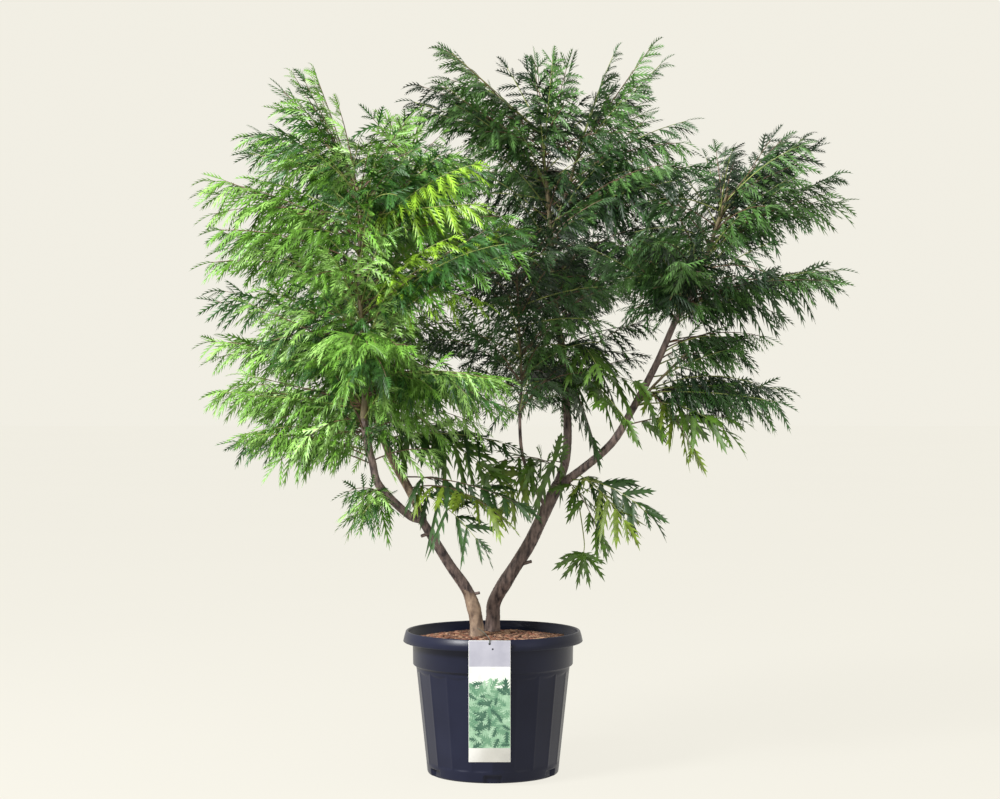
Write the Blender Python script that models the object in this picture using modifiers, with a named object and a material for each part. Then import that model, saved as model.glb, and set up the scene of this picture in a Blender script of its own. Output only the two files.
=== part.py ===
"""Cutleaf staghorn sumac in a nursery pot.

A turned pot, the potting bark in it, a label on a wire, two leaning stems from one root, their
boughs, and the crown as separate leaf masses. Metres, Z up, X to the viewer's right, Y away from
the viewer. The origin is the middle of the pot's flat underside.
"""

import math
import random

import bmesh
import bpy
from mathutils import Vector

OBJECT_NAME = "cutleaf_staghorn_sumac"
UP = Vector((0, 0, 1))

# Clearances, and the distance within which a cut's corners become one
GAP = 0.0003
CUTTER_GROWTH = 0.0005
CUT_WELD = 0.0002

# The pot and the bark in it turn in the same steps, so that their facets stay parallel.
TURN_STEPS = 24

# Pot
POT_HEIGHT = 0.333
LIP_TOP_RADIUS = 0.2035
LIP_FOOT_RADIUS = 0.210
LIP_DEPTH = 0.026
COLLAR_RADIUS = 0.187
STEP_HEIGHT = 0.2535
BODY_TOP_RADIUS = 0.180
BASE_RADIUS = 0.1537
BASE_EDGE = 0.007
WALL = 0.004
FLOOR = 0.006
RIM_INNER_RADIUS = 0.198
LEDGE_HEIGHT = 0.3095
SOFT_EDGE = 0.003

# Drainage notches in the foot of the pot's wall
NOTCH_COUNT = 6
NOTCH_WIDTH = 0.040
NOTCH_BOTTOM = 0.008
NOTCH_TOP = 0.022
NOTCH_DEPTH = 0.003
NOTCH_TOP_SHARE = 0.7
NOTCH_BLOCK = 0.02

# Potting bark
SOIL_TOP = 0.318
SOIL_EDGE = 0.3085
SOIL_FLAT_RADIUS = 0.125

# Label and its wire
TAG_WIDTH = 0.094
TAG_HEIGHT = 0.273
TAG_THICKNESS = 0.0008
TAG_MIDDLE_X = -0.007
TAG_CORNER = 0.003
TAG_HOLES = ((0.000, 0.0075, 0.003), (0.007, 0.0195, 0.0025))
WIRE_RADIUS = 0.0009
WIRE_CLEAR = 0.002
WIRE_HOOK = 0.0035
WIRE_STEPS = 2
ARC_STEPS = 4
HOLE_SIDES = 8

# Limbs: the guide points of each middle line, from its foot up, and the radii that it tapers between.
# A bulge says how far up the limb it is and how much it adds to the radius. A limb that grows from
# another starts inside it and is cut back to its bark.
CUT_LEVEL = SOIL_TOP + GAP
FLARE = 0.22
FLARE_HEIGHT = 0.045
FOOT_SLICE = 0.004
BULGE_SPREAD = 0.12
LIMB_STEPS = 2
THIN = 0.011
LIMB_DEFAULTS = {"flared": False, "bulge": (0, 0)}
LIMBS = {
    "left_stem": {
        "route": (
            (-0.0363, 0.000, CUT_LEVEL),
            (-0.0386, -0.001, 0.352),
            (-0.0456, -0.005, 0.387),
            (-0.0623, -0.012, 0.430),
            (-0.1013, -0.024, 0.487),
            (-0.144, -0.038, 0.558),
            (-0.176, -0.050, 0.611),
        ),
        "radii": (0.0152, 0.0095),
        "flared": True,
        "bulge": (0.22, 0.18),
    },
    "right_stem": {
        "route": (
            (-0.0024, 0.100, CUT_LEVEL),
            (0.000, 0.098, 0.352),
            (0.0035, 0.093, 0.390),
            (0.034, 0.082, 0.445),
            (0.083, 0.070, 0.524),
            (0.120, 0.060, 0.600),
            (0.154, 0.050, 0.672),
        ),
        "radii": (0.0163, 0.0146),
        "flared": True,
        "bulge": (0.32, 0.12),
    },
    "low_left_bough": {
        "route": (
            (-0.160, -0.053, 0.593),
            (-0.196, -0.070, 0.6075),
            (-0.259, -0.105, 0.674),
            (-0.2755, -0.115, 0.730),
            (-0.290, -0.125, 0.790),
            (-0.2945, -0.130, 0.831),
        ),
        "radii": (0.0098, 0.0082),
    },
    "high_left_bough": {
        "route": (
            (-0.162, -0.050, 0.600),
            (-0.195, -0.030, 0.6625),
            (-0.231, -0.005, 0.7245),
            (-0.258, 0.015, 0.784),
            (-0.268, 0.025, 0.8145),
        ),
        "radii": (0.0106, 0.0094),
    },
    "upright_bough": {
        "route": (
            (0.149, 0.052, 0.662),
            (0.172, 0.070, 0.7257),
            (0.1774, 0.090, 0.811),
            (0.171, 0.110, 0.906),
            (0.1656, 0.130, 1.002),
        ),
        "radii": (0.0108, 0.0085),
    },
    "side_bough": {
        "route": (
            (0.149, 0.050, 0.664),
            (0.210, 0.035, 0.708),
            (0.279, 0.015, 0.770),
            (0.3225, -0.005, 0.843),
            (0.380, -0.020, 0.953),
            (0.4276, -0.035, 1.062),
            (0.4617, -0.045, 1.120),
        ),
        "radii": (0.0106, 0.0064),
    },
    "slender_stem": {
        "route": (
            (0.1255, 0.058, 0.615),
            (0.099, 0.030, 0.664),
            (0.070, 0.000, 0.738),
            (0.0625, -0.015, 0.8245),
            (0.0675, -0.020, 0.910),
        ),
        "radii": (0.0050, 0.0030),
    },
    "leaf_stalk": {
        "route": (
            (0.186, 0.020, 0.666),
            (0.1995, 0.010, 0.634),
            (0.2128, -0.010, 0.544),
            (0.2115, -0.020, 0.513),
        ),
        "radii": (0.0018, 0.0012),
    },
}

# Where each limb starts, and the leaf mass that it ends in.
GROWS_FROM = {
    "low_left_bough": ("left_stem",),
    "high_left_bough": ("left_stem", "low_left_bough"),
    "upright_bough": ("right_stem",),
    "side_bough": ("right_stem", "upright_bough"),
    "slender_stem": ("right_stem",),
}
ENDS_IN = {
    "low_left_bough": "left_heart_low",
    "high_left_bough": "left_rear_heart",
    "upright_bough": "upright_heart_low",
    "side_bough": "side_heart",
    "slender_stem": "middle_heart",
    "leaf_stalk": "hanging_leaf",
}

# Leaf masses: where the leaves of each grow from, its furthest leaf tip, its breadth across and
# its depth from the leaf ribs down to the hanging leaflets. A later mass gives way to an earlier one.
MASS_SIDES = 8
MASS_RINGS = 6
ARCH = 0.05
HANG = 0.22
UNEVENNESS = 0.10
HEART_TAPER = 0.20
SPRAY_TAPER = 0.80
HEART_MASSES = {
    "left_heart_low": ((-0.290, -0.125, 0.775), (-0.300, -0.140, 1.050), 0.19, 0.17),
    "left_heart_high": ((-0.300, -0.140, 1.020), (-0.315, -0.150, 1.430), 0.22, 0.19),
    "left_rear_heart": ((-0.262, 0.020, 0.780), (-0.205, 0.120, 1.440), 0.23, 0.20),
    "upright_heart_low": ((0.175, 0.125, 0.940), (0.160, 0.160, 1.220), 0.29, 0.20),
    "upright_heart_high": ((0.140, 0.160, 1.190), (0.105, 0.180, 1.540), 0.32, 0.22),
    "side_heart": ((0.440, -0.040, 1.065), (0.545, -0.060, 1.350), 0.25, 0.20),
    "middle_heart": ((0.064, -0.020, 0.872), (0.050, -0.140, 1.235), 0.28, 0.20),
}
LEFT_MASSES = {
    "pale_shoot": ((-0.355, -0.140, 1.370), (-0.462, -0.130, 1.635), 0.11, 0.10),
    "left_top_spray": ((-0.320, -0.140, 1.360), (-0.585, -0.060, 1.500), 0.16, 0.13),
    "left_high_spray": ((-0.320, -0.140, 1.240), (-0.672, -0.100, 1.395), 0.17, 0.15),
    "left_middle_spray": ((-0.320, -0.140, 1.120), (-0.640, -0.120, 1.275), 0.18, 0.17),
    "left_lower_spray": ((-0.310, -0.130, 0.990), (-0.640, -0.160, 1.140), 0.16, 0.13),
    "left_flat_spray": ((-0.300, -0.130, 0.930), (-0.675, -0.080, 1.025), 0.18, 0.13),
    "left_low_spray": ((-0.290, -0.130, 0.850), (-0.655, -0.130, 0.910), 0.16, 0.12),
    "left_lowest_spray": ((-0.280, -0.120, 0.785), (-0.590, -0.180, 0.815), 0.19, 0.14),
    "left_hanging_spray": ((-0.232, -0.090, 0.665), (-0.333, -0.180, 0.620), 0.12, 0.10),
    "low_front_leaf": ((-0.195, -0.030, 0.665), (0.045, -0.220, 0.600), 0.15, 0.12),
    "left_inner_leaf": ((-0.245, 0.000, 0.785), (0.057, -0.140, 0.770), 0.15, 0.13),
    "left_front_low_spray": ((-0.235, -0.075, 0.900), (0.010, -0.290, 0.940), 0.25, 0.27),
    "left_front_spray": ((-0.290, -0.160, 0.990), (-0.260, -0.530, 1.010), 0.24, 0.20),
    "reaching_front_spray": ((-0.210, -0.160, 1.080), (0.078, -0.400, 1.265), 0.18, 0.18),
    "front_dome": ((-0.290, -0.140, 1.265), (-0.010, -0.330, 1.435), 0.29, 0.27),
    "left_crest": ((-0.215, 0.100, 1.390), (-0.250, 0.080, 1.560), 0.20, 0.13),
    "left_rear_high_spray": ((-0.230, 0.130, 1.310), (-0.320, 0.470, 1.410), 0.24, 0.19),
    "left_rear_spray": ((-0.250, 0.090, 1.110), (-0.340, 0.500, 1.170), 0.26, 0.20),
    "left_rear_low_spray": ((-0.260, 0.040, 0.880), (-0.360, 0.430, 0.920), 0.24, 0.18),
}
RIGHT_MASSES = {
    "crest_left": ((0.110, 0.190, 1.510), (-0.142, 0.150, 1.730), 0.14, 0.13),
    "crest_far_left": ((0.080, 0.130, 1.455), (-0.195, 0.000, 1.628), 0.13, 0.12),
    "crest_middle": ((0.130, 0.170, 1.470), (0.150, 0.150, 1.705), 0.15, 0.14),
    "crest_right": ((0.205, 0.160, 1.470), (0.393, 0.100, 1.735), 0.13, 0.13),
    "high_right_spray": ((0.200, 0.130, 1.390), (0.480, 0.050, 1.550), 0.14, 0.13),
    "inner_right_spray": ((0.200, 0.100, 1.290), (0.480, -0.100, 1.430), 0.16, 0.16),
    "right_crest": ((0.530, -0.020, 1.290), (0.555, 0.100, 1.478), 0.14, 0.12),
    "right_high_spray": ((0.530, -0.050, 1.300), (0.745, 0.000, 1.503), 0.13, 0.10),
    "right_long_spray": ((0.520, -0.050, 1.225), (0.812, -0.060, 1.412), 0.14, 0.12),
    "right_reaching_spray": ((0.450, -0.040, 1.080), (0.828, -0.050, 1.192), 0.14, 0.12),
    "right_short_spray": ((0.400, -0.025, 0.985), (0.652, -0.060, 1.038), 0.14, 0.10),
    "right_level_spray": ((0.365, -0.015, 0.900), (0.695, -0.050, 0.897), 0.14, 0.11),
    "right_low_leaf": ((0.335, -0.010, 0.860), (0.565, -0.080, 0.790), 0.14, 0.11),
    "low_right_leaf": ((0.180, 0.040, 0.715), (0.322, -0.100, 0.575), 0.16, 0.12),
    "low_middle_leaf": ((0.142, 0.030, 0.722), (-0.020, -0.100, 0.740), 0.15, 0.14),
    "olive_leaves": ((0.195, 0.075, 0.955), (0.315, -0.190, 0.810), 0.24, 0.22),
    "right_front_spray": ((0.430, -0.060, 1.110), (0.310, -0.390, 1.240), 0.26, 0.24),
    "rear_high_spray": ((0.150, 0.200, 1.370), (0.120, 0.550, 1.460), 0.26, 0.20),
    "rear_spray": ((0.160, 0.180, 1.140), (0.190, 0.580, 1.240), 0.30, 0.22),
    "rear_low_spray": ((0.170, 0.120, 0.940), (0.100, 0.450, 0.940), 0.24, 0.18),
    "right_rear_spray": ((0.400, 0.020, 1.150), (0.430, 0.400, 1.320), 0.26, 0.24),
}
HANGING_LEAF = {
    "hanging_leaf": ((0.131, -0.020, 0.518), (0.265, -0.040, 0.508), 0.05, 0.10),
}

# Colours as seen: linear red, green and blue, and the roughness.
COLOURS = {
    "pot": ((0.012, 0.014, 0.022), 0.42),
    "soil": ((0.150, 0.062, 0.034), 0.95),
    "tag": ((0.700, 0.700, 0.740), 0.45),
    "wire": ((0.040, 0.045, 0.050), 0.50),
    "bark": ((0.105, 0.075, 0.060), 0.80),
    "leaf": ((0.045, 0.160, 0.035), 0.60),
}


def clear_scene():
    for old in list(bpy.data.objects):
        bpy.data.objects.remove(old, do_unlink=True)


def new_collection(name, hidden=False):
    collection = bpy.data.collections.new(name)
    collection.hide_render = hidden
    bpy.context.scene.collection.children.link(collection)
    return collection


def material_for(part_name, colour_name):
    colour, roughness = COLOURS[colour_name]
    material = bpy.data.materials.new(part_name)
    material.use_nodes = True
    shader = material.node_tree.nodes["Principled BSDF"]
    shader.inputs["Base Color"].default_value = (*colour, 1)
    shader.inputs["Roughness"].default_value = roughness
    return material


def add_object(name, data, collection, colour_name=None):
    made = bpy.data.objects.new(name, data)
    collection.objects.link(made)
    if colour_name:
        data.materials.append(material_for(name, colour_name))
    return made


def evaluated_mesh(source, weld=1e-6):
    """The object's mesh as its modifiers leave it, in world space, welded and in triangles."""
    bpy.context.view_layer.update()
    graph = bpy.context.evaluated_depsgraph_get()
    mesh = bpy.data.meshes.new_from_object(source.evaluated_get(graph))
    mesh.transform(source.matrix_world)
    work = bmesh.new()
    work.from_mesh(mesh)
    bmesh.ops.remove_doubles(work, verts=work.verts, dist=weld)
    bmesh.ops.triangulate(work, faces=work.faces)
    bmesh.ops.recalc_face_normals(work, faces=work.faces)
    work.to_mesh(mesh)
    work.free()
    return mesh


def turned(name, profile, collection, colour_name):
    """A profile of (radius, height) points turned about Z. Its outer side runs from top to bottom."""
    mesh = bpy.data.meshes.new(name)
    points = [(radius, 0, height) for radius, height in profile]
    mesh.from_pydata(points, [(i, i + 1) for i in range(len(points) - 1)], [])
    made = add_object(name, mesh, collection, colour_name)
    screw = made.modifiers.new("turn", "SCREW")
    screw.axis = "Z"
    screw.steps = TURN_STEPS
    screw.render_steps = TURN_STEPS
    screw.use_merge_vertices = True
    screw.merge_threshold = 0.0001
    screw.use_smooth_shade = True
    return made


def subtract(target, cutter):
    cut = target.modifiers.new("cut_" + cutter.name, "BOOLEAN")
    cut.operation = "DIFFERENCE"
    cut.object = cutter


def body_radius(height):
    """The pot's outer radius below the step, which narrows evenly down to its base."""
    share = (height - BASE_EDGE) / (STEP_HEIGHT - BASE_EDGE)
    return BASE_RADIUS + share * (BODY_TOP_RADIUS - BASE_RADIUS)


def inner_wall():
    """The pot's inner wall, from its floor up to the ledge under the lip."""
    return [
        (body_radius(FLOOR) - WALL, FLOOR),
        (BODY_TOP_RADIUS - WALL, STEP_HEIGHT - SOFT_EDGE),
        (COLLAR_RADIUS - WALL, STEP_HEIGHT + SOFT_EDGE),
        (COLLAR_RADIUS - WALL, LEDGE_HEIGHT),
    ]


def build_pot(parts, cutters):
    lip_foot = POT_HEIGHT - LIP_DEPTH
    rim = [
        (RIM_INNER_RADIUS, LEDGE_HEIGHT + SOFT_EDGE),
        (RIM_INNER_RADIUS, POT_HEIGHT),
        (LIP_TOP_RADIUS, POT_HEIGHT),
        (LIP_FOOT_RADIUS, lip_foot),
    ]
    outer_wall = [
        (COLLAR_RADIUS, lip_foot),
        (COLLAR_RADIUS, STEP_HEIGHT + SOFT_EDGE),
        (BODY_TOP_RADIUS, STEP_HEIGHT - SOFT_EDGE),
        (BASE_RADIUS, BASE_EDGE),
        (BASE_RADIUS - 2 * SOFT_EDGE, 0),
    ]
    pot = turned("pot", [(0, FLOOR)] + inner_wall() + rim + outer_wall + [(0, 0)], parts, "pot")
    for number in range(NOTCH_COUNT):
        subtract(pot, notch_cutter(number, cutters))


def notch_cutter(number, cutters):
    """A block that bites NOTCH_DEPTH into the wall, with its top narrower than its foot."""
    work = bmesh.new()
    bmesh.ops.create_cube(work, size=1)
    middle = (NOTCH_BOTTOM + NOTCH_TOP) / 2
    for corner in work.verts:
        narrowing = NOTCH_TOP_SHARE if corner.co.z > 0 else 1
        corner.co.x *= NOTCH_WIDTH * narrowing
        corner.co.y = (corner.co.y - 0.5) * NOTCH_BLOCK - body_radius(middle) + NOTCH_DEPTH
        corner.co.z = corner.co.z * (NOTCH_TOP - NOTCH_BOTTOM) + middle
    mesh = bpy.data.meshes.new("notch_cutter")
    work.to_mesh(mesh)
    work.free()
    cutter = add_object("notch_cutter_%d" % number, mesh, cutters)
    cutter.rotation_euler.z = math.tau * number / NOTCH_COUNT
    cutter.hide_render = True
    cutter.display_type = "WIRE"
    return cutter


def build_soil(parts):
    """Bark that fills the pot, a little below its rim and lower still at its wall."""
    foot, body_top, collar_foot, collar_top = [(radius - GAP, height) for radius, height in inner_wall()]
    profile = (
        (0, SOIL_TOP),
        (SOIL_FLAT_RADIUS, SOIL_TOP),
        (collar_top[0], SOIL_EDGE),
        collar_foot,
        body_top,
        (foot[0], FLOOR + GAP),
        (0, FLOOR + GAP),
    )
    turned("soil", profile, parts, "soil")


def add_outline(curve, points):
    spline = curve.splines.new("POLY")
    spline.points.add(len(points) - 1)
    for place, (x, y) in zip(spline.points, points):
        place.co = (x, y, 0, 1)
    spline.use_cyclic_u = True


def arc(middle_x, middle_y, radius, start, steps, sweep):
    return [
        (
            middle_x + radius * math.cos(start + sweep * i / steps),
            middle_y + radius * math.sin(start + sweep * i / steps),
        )
        for i in range(steps + 1)
    ]


def build_tag(parts):
    """A stiff card with round corners and two punched holes, hung flat against the rim's front."""
    curve = bpy.data.curves.new("tag", "CURVE")
    curve.dimensions = "2D"
    curve.fill_mode = "BOTH"
    curve.extrude = TAG_THICKNESS / 2
    outline = []
    for turn, (side, end) in enumerate(((1, 0), (-1, 0), (-1, -1), (1, -1))):
        middle_x = side * (TAG_WIDTH / 2 - TAG_CORNER)
        middle_y = end * TAG_HEIGHT + (TAG_CORNER if end else -TAG_CORNER)
        outline += arc(middle_x, middle_y, TAG_CORNER, turn * math.pi / 2, ARC_STEPS, math.pi / 2)
    add_outline(curve, outline)
    for across, down, radius in TAG_HOLES:
        add_outline(curve, arc(across, -down, radius, 0, HOLE_SIDES, math.tau)[:-1])
    tag = add_object("tag", curve, parts, "tag")
    tag.rotation_euler.x = math.pi / 2
    tag.location = (TAG_MIDDLE_X, -(LIP_FOOT_RADIUS + GAP + TAG_THICKNESS / 2), POT_HEIGHT)


def build_wire(parts):
    """A thin wire from behind the label, out through its hole, over the rim and across to the stem."""
    across, down, _ = TAG_HOLES[0]
    hole_x = TAG_MIDDLE_X + across
    hole_z = POT_HEIGHT - down
    front = -(LIP_FOOT_RADIUS + GAP + TAG_THICKNESS)
    over = POT_HEIGHT + 1.5 * WIRE_CLEAR
    stem, stem_radius = stem_at(over)
    bark_y = stem.y - stem_radius - WIRE_RADIUS - GAP
    guide = (
        (hole_x, front + WIRE_HOOK, hole_z),
        (hole_x, front, hole_z),
        (hole_x, front - WIRE_CLEAR, hole_z + 1.5 * WIRE_CLEAR),
        (hole_x, front - WIRE_CLEAR, POT_HEIGHT),
        (hole_x, front + 2 * WIRE_CLEAR, over),
        ((hole_x + stem.x) / 2, (front + bark_y) / 2, over + WIRE_CLEAR),
        (stem.x, bark_y, over + WIRE_CLEAR),
    )
    route = smooth_route(guide, WIRE_STEPS)
    tube("tag_wire", route, [WIRE_RADIUS] * len(route), parts, "wire")


def smooth_route(guide, steps=LIMB_STEPS):
    """Points on a smooth curve through the guide points, so many steps to each stretch."""
    points = [Vector(point) for point in guide]
    before = [points[0]] + points[:-1]
    after = points[1:] + [points[-1]]
    slopes = [(late - early) / 2 for early, late in zip(before, after)]
    route = []
    for i in range(len(points) - 1):
        for step in range(steps):
            t = step / steps
            route.append(
                points[i] * (2 * t**3 - 3 * t**2 + 1)
                + slopes[i] * (t**3 - 2 * t**2 + t)
                + points[i + 1] * (3 * t**2 - 2 * t**3)
                + slopes[i + 1] * (t**3 - t**2)
            )
    return route + [points[-1]]


def limb_radii(limb, route):
    """A steady taper, with a root flare at the cut and a bulge at the bend."""
    foot, tip = limb["radii"]
    bulge_place, bulge = limb["bulge"]
    radii = []
    for i, place in enumerate(route):
        share = i / (len(route) - 1)
        radius = foot + (tip - foot) * share
        radius *= 1 + bulge * math.exp(-(((share - bulge_place) / BULGE_SPREAD) ** 2))
        if limb["flared"]:
            height = min(1, (place.z - CUT_LEVEL) / FLARE_HEIGHT)
            radius *= 1 + FLARE * (1 - height) ** 2
        radii.append(radius)
    return radii


def stem_at(height):
    """The left stem's middle and radius at this height."""
    limb = LIMB_DEFAULTS | LIMBS["left_stem"]
    route = smooth_route(limb["route"])
    nearest = min(range(len(route)), key=lambda i: abs(route[i].z - height))
    return route[nearest], limb_radii(limb, route)[nearest]


def tube(name, route, radii, collection, colour_name=None):
    curve = bpy.data.curves.new(name, "CURVE")
    curve.dimensions = "3D"
    curve.bevel_depth = 1
    curve.bevel_resolution = 1 if max(radii) < THIN else 2
    curve.use_fill_caps = True
    spline = curve.splines.new("POLY")
    spline.points.add(len(route) - 1)
    for place, point, radius in zip(spline.points, route, radii):
        place.co = (*point, 1)
        place.radius = radius
    return add_object(name, curve, collection, colour_name)


def limb_solid(name, collection):
    """The limb's mesh before anything is cut from it. A flared stem gets a level foot."""
    limb = LIMB_DEFAULTS | LIMBS[name]
    route = smooth_route(limb["route"])
    curve_object = tube(name + "_curve", route, limb_radii(limb, route), collection)
    mesh = evaluated_mesh(curve_object)
    bpy.data.objects.remove(curve_object, do_unlink=True)
    if limb["flared"]:
        for corner in mesh.vertices:
            if corner.co.z < CUT_LEVEL + FOOT_SLICE:
                corner.co.z = CUT_LEVEL
    return add_object(name + "_whole", mesh, collection)


def mass_solid(name, sizes, taper, collection):
    """A closed uneven form from its foot to its tip, whose leaflets hang from an arching rib."""
    chance = random.Random(name)
    phases = [chance.uniform(0, math.tau) for _ in range(4)]
    foot = Vector(sizes[0])
    tip = Vector(sizes[1])
    breadth, depth = sizes[2:]
    ahead = (tip - foot).normalized()
    side = UP.cross(ahead) if abs(ahead.z) < 0.9 else Vector((1, 0, 0))
    side = (side - ahead * side.dot(ahead)).normalized()
    top = ahead.cross(side)
    level = math.sqrt(max(0, 1 - ahead.z**2))
    lift = level * (ARCH * (tip - foot).length - HANG * depth)
    work = bmesh.new()
    bmesh.ops.create_uvsphere(work, u_segments=MASS_SIDES, v_segments=MASS_RINGS, radius=1)
    for corner in work.verts:
        share = (corner.co.z + 1) / 2
        turn = math.atan2(corner.co.y, corner.co.x)
        uneven = (
            math.sin(2 * turn + phases[0] + 3 * share)
            + math.sin(3 * turn + phases[1] - 6 * share)
            + math.sin(turn + phases[2] + 9 * share)
        )
        fullness = (1 + taper * (0.5 - share)) * (1 + UNEVENNESS * uneven)
        arch = UP * lift * 4 * share * (1 - share)
        across = side * corner.co.x * breadth / 2
        down = top * corner.co.y * depth / 2
        corner.co = foot.lerp(tip, share) + arch + (across + down) * fullness
    bmesh.ops.triangulate(work, faces=work.faces)
    mesh = bpy.data.meshes.new(name)
    work.to_mesh(mesh)
    work.free()
    return add_object(name + "_whole", mesh, collection)


def grown_copy(source, collection):
    """A cutter: the solid pushed out along its normals, so that what it cuts stays clear of it."""
    mesh = source.data.copy()
    normals = [corner.normal.copy() for corner in mesh.vertices]
    for corner, normal in zip(mesh.vertices, normals):
        corner.co += normal * CUTTER_GROWTH
    cutter = add_object(source.name.replace("_whole", "_cutter"), mesh, collection)
    cutter.hide_render = True
    cutter.display_type = "WIRE"
    return cutter


def box_of(source):
    corners = [source.matrix_world @ corner.co for corner in source.data.vertices]
    low = Vector(min(corner[axis] for corner in corners) for axis in range(3))
    high = Vector(max(corner[axis] for corner in corners) for axis in range(3))
    return low, high


def boxes_meet(one, other):
    low, high = box_of(one)
    other_low, other_high = box_of(other)
    return all(low[a] < other_high[a] and other_low[a] < high[a] for a in range(3))


def islands_of(work):
    """The mesh's separate bodies, as lists of faces. Bodies that only share a corner count apart."""
    unseen = set(work.faces)
    islands = []
    while unseen:
        edge_faces = [unseen.pop()]
        island = list(edge_faces)
        while edge_faces:
            for link in edge_faces.pop().edges:
                for neighbour in link.link_faces:
                    if neighbour in unseen:
                        unseen.discard(neighbour)
                        edge_faces.append(neighbour)
                        island.append(neighbour)
        islands.append(island)
    return islands


def island_area(island):
    return sum(face.calc_area() for face in island)


def finished_part(name, whole, cutters, collection, colour_name):
    """The solid less every cutter near it, with scraps on a cutter's far side dropped."""
    for cutter in cutters:
        if boxes_meet(whole, cutter):
            subtract(whole, cutter)
    mesh = evaluated_mesh(whole, CUT_WELD)
    mesh.name = name
    work = bmesh.new()
    work.from_mesh(mesh)
    islands = sorted(islands_of(work), key=island_area)
    for island in islands[:-1]:
        bmesh.ops.delete(work, geom=island, context="FACES")
    work.to_mesh(mesh)
    work.free()
    made = add_object(name, mesh, collection, colour_name)
    mesh.shade_smooth()
    mesh.set_sharp_from_angle(angle=math.radians(50))
    return made


def build_plant(parts, cutters):
    sprays = LEFT_MASSES | RIGHT_MASSES | HANGING_LEAF
    limbs_whole = {name: limb_solid(name, cutters) for name in LIMBS}
    masses_whole = {}
    for masses, taper in ((HEART_MASSES, HEART_TAPER), (sprays, SPRAY_TAPER)):
        for name, sizes in masses.items():
            masses_whole[name] = mass_solid(name, sizes, taper, cutters)
    bpy.context.view_layer.update()
    limb_cutters = {name: grown_copy(whole, cutters) for name, whole in limbs_whole.items()}
    mass_cutters = {name: grown_copy(whole, cutters) for name, whole in masses_whole.items()}
    for name, whole in limbs_whole.items():
        near = [limb_cutters[other] for other in GROWS_FROM.get(name, ())]
        if name in ENDS_IN:
            near.append(mass_cutters[ENDS_IN[name]])
        finished_part(name, whole, near, parts, "bark")
    for number, (name, whole) in enumerate(masses_whole.items()):
        near = [cutter for limb, cutter in limb_cutters.items() if ENDS_IN.get(limb) != name]
        near += list(mass_cutters.values())[:number]
        finished_part(name, whole, near, parts, "leaf")
    for whole in list(limbs_whole.values()) + list(masses_whole.values()):
        whole.hide_render = True
        whole.display_type = "WIRE"


def main():
    clear_scene()
    parts = new_collection(OBJECT_NAME)
    cutters = new_collection("cutters", hidden=True)
    build_pot(parts, cutters)
    build_soil(parts)
    build_tag(parts)
    build_wire(parts)
    build_plant(parts, cutters)


main()
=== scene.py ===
"""Cutleaf staghorn sumac in a nursery pot: the looks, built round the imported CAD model.

All places are metres in the CAD model's frame: +Z is up and the photograph looks along +Y. The limbs keep
the CAD model's routes. Each mass of foliage is replaced by compound leaves that a seeded rule grows from the
leading shoots towards that mass.
"""

import math
from collections import namedtuple

import bpy
import numpy as np
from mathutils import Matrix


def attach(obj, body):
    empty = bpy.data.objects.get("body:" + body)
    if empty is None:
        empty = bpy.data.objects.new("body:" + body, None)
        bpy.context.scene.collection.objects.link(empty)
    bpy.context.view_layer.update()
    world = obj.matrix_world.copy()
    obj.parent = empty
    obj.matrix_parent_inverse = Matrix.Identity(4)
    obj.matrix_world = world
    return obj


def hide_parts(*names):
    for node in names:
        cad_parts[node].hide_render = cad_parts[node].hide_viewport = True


# A bulge is its place along the limb and its swelling, and a flare is the swelling at the foot, all as shares
Limb = namedtuple("Limb", "route foot_radius tip_radius bulge flare")
Shoot = namedtuple("Shoot", "route foot_radius tip_radius")
Stub = namedtuple("Stub", "foot tip radius")
Mass = namedtuple("Mass", "foot tip breadth depth kind")
LeafForm = namedtuple("LeafForm", "leaflet size pair_spacing")
Lamp = namedtuple("Lamp", "name place size energy")

SEED = 20
UP = np.array((0.0, 0.0, 1.0))
# A heap of leaves with more triangles than this is followed by another
MOST_TRIANGLES = 180_000

# The photograph's camera and the studio
CAMERA_PLACE = (0.0164, -5.0, 0.912)
CAMERA_PITCH = math.radians(90 - 0.456)
LENS = 76.923
SENSOR_WIDTH = 36
BACKDROP_COLOUR = (0.885, 0.86, 0.775, 1)
FLOOR_HALF = 40.0
FLOOR_GLOW = 0.94
LAMPS = (
    Lamp("key", (-3.2, -2.8, 3.6), 1.3, 520),
    Lamp("fill", (3.0, -3.0, 1.6), 2.4, 12),
)
LAMPS_AIM = (0, 0, 0.95)

# Materials: where the noise turns from the dark tone to the light one, and the bump
RAMP_DARK = 0.34
RAMP_LIGHT = 0.66
MOTTLE_DETAIL = 4
GRAIN_FINENESS = 4
BUMP_DISTANCE = 0.001
LEAF_SHADE = 0.62
LEAF_HIGHLIGHT = 1.35
LEAF_ROUGHNESS = 0.48
LEAF_MOTTLE = 55
POT_SPECULAR = 0.2

# The pot, as in the CAD model
POT_HEIGHT = 0.333
LIP_TOP_RADIUS = 0.2035
LIP_FOOT_RADIUS = 0.210
LIP_DEPTH = 0.026
COLLAR_RADIUS = 0.187
STEP_HEIGHT = 0.2535
BODY_TOP_RADIUS = 0.180
BASE_RADIUS = 0.1537
BASE_EDGE = 0.007
RIM_INNER_RADIUS = 0.198
POT_SEGMENTS = 360
WALL_RINGS = 100
WALL_TOP_GAP = 0.004
# Radius and height of the underside, the base ring and the edge below the wall
POT_FOOT = ((0.0005, 0.004), (0.05, 0.0035), (0.13, 0.003), (0.140, 0.0), (0.147, 0.0), (0.1515, 0.0015),
            (0.1532, 0.004))

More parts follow.
